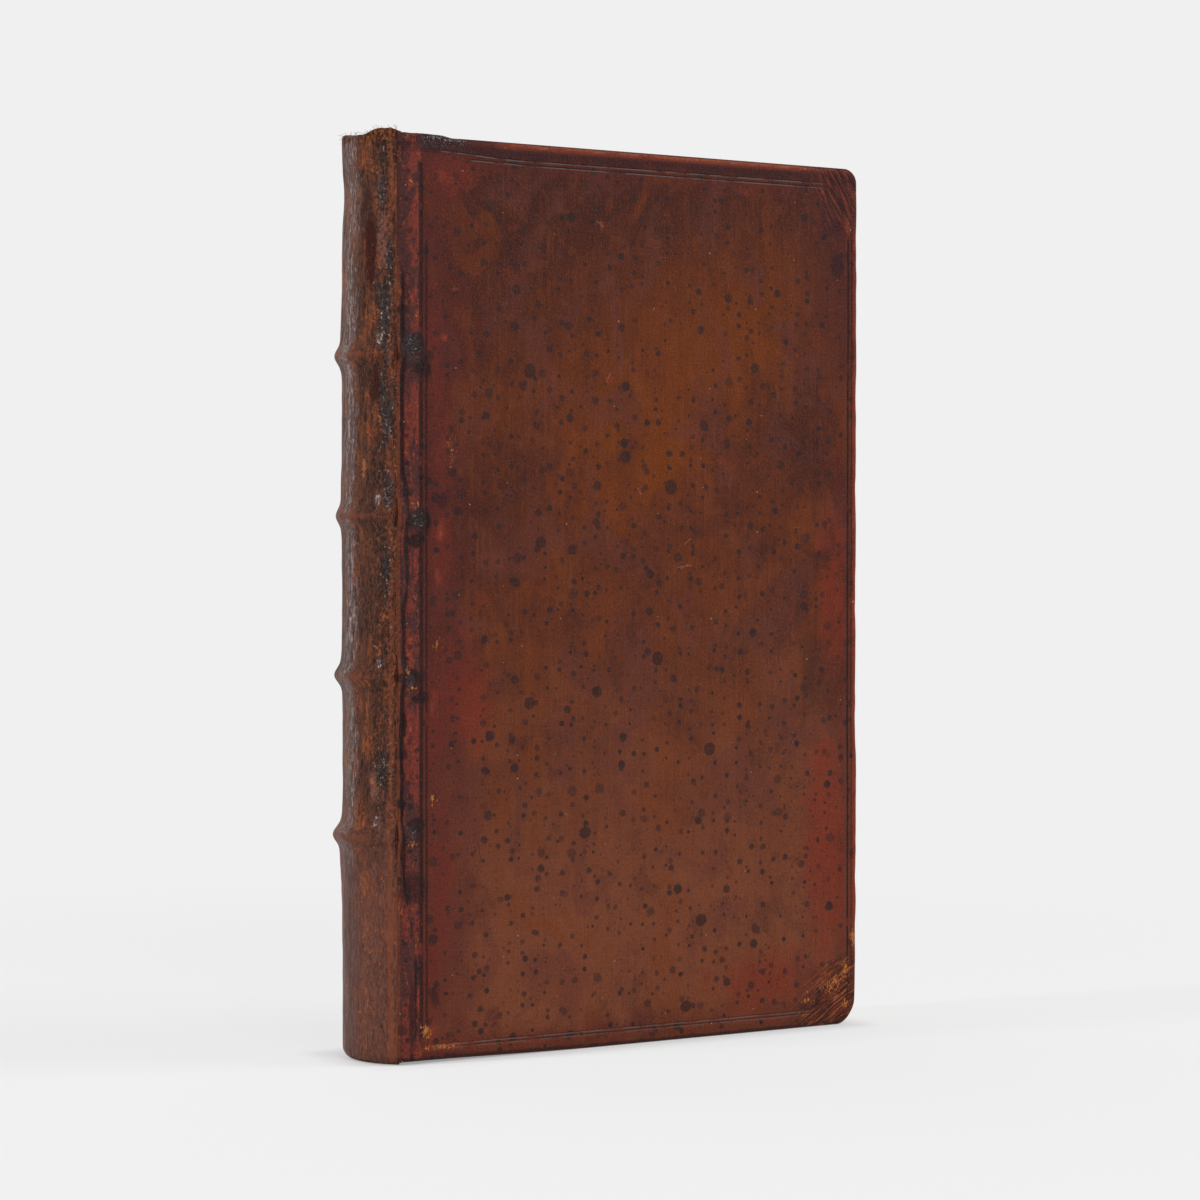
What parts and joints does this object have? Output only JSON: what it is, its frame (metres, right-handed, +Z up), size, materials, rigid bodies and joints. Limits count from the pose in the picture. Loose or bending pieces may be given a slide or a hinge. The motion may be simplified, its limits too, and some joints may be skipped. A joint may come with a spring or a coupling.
{
  "type": "antique leather book",
  "caption": "Small old book in mottled brown calf with raised bands on a rounded spine, blind-tooled double fillets near the edges and covers that open on its joints.",
  "frame": {"origin": "centre of the book's footprint on the surface it stands on, covers closed", "axes": "+X from the spine to the fore edge, +Y from the front cover to the rear cover, +Z up from the tail to the head"},
  "size_m": [0.1294, 0.024, 0.2015],
  "materials": {
    "spine_calf": "dark crackled calf, rubbed on the bands",
    "cover_calf": "satin brown calf with small dark speckles and worn edges",
    "pasteboard": "dull grey-brown pasteboard",
    "leaves": "aged cream leaf edges",
    "endpaper": "aged cream laid paper",
    "hemp_cord": "twisted hemp cord",
    "endband_thread": "thread wound over a core"
  },
  "bodies": {
    "text_block": {"page_block": "leaves", "spine_leather": "spine_calf", "head_band": "endband_thread", "tail_band": "endband_thread", "sewing_cord_1": "hemp_cord", "sewing_cord_2": "hemp_cord", "sewing_cord_3": "hemp_cord", "sewing_cord_4": "hemp_cord"},
    "front_cover": {"front_board": "pasteboard", "front_leather": "cover_calf", "front_pastedown": "endpaper", "front_cord_slip_1": "hemp_cord", "front_cord_slip_2": "hemp_cord", "front_cord_slip_3": "hemp_cord", "front_cord_slip_4": "hemp_cord"},
    "rear_cover": {"rear_board": "pasteboard", "rear_leather": "cover_calf", "rear_pastedown": "endpaper", "rear_cord_slip_1": "hemp_cord", "rear_cord_slip_2": "hemp_cord", "rear_cord_slip_3": "hemp_cord", "rear_cord_slip_4": "hemp_cord"}
  },
  "joints": [
    {"name": "front_cover_hinge", "type": "hinge", "parent": "text_block", "child": "front_cover", "pos_m": [-0.05847, -0.0115, 0.1], "axis": [0, 0, -1], "range_deg": [0, 170]},
    {"name": "rear_cover_hinge", "type": "hinge", "parent": "text_block", "child": "rear_cover", "pos_m": [-0.05847, 0.0115, 0.1], "axis": [0, 0, 1], "range_deg": [0, 170]}
  ]
}
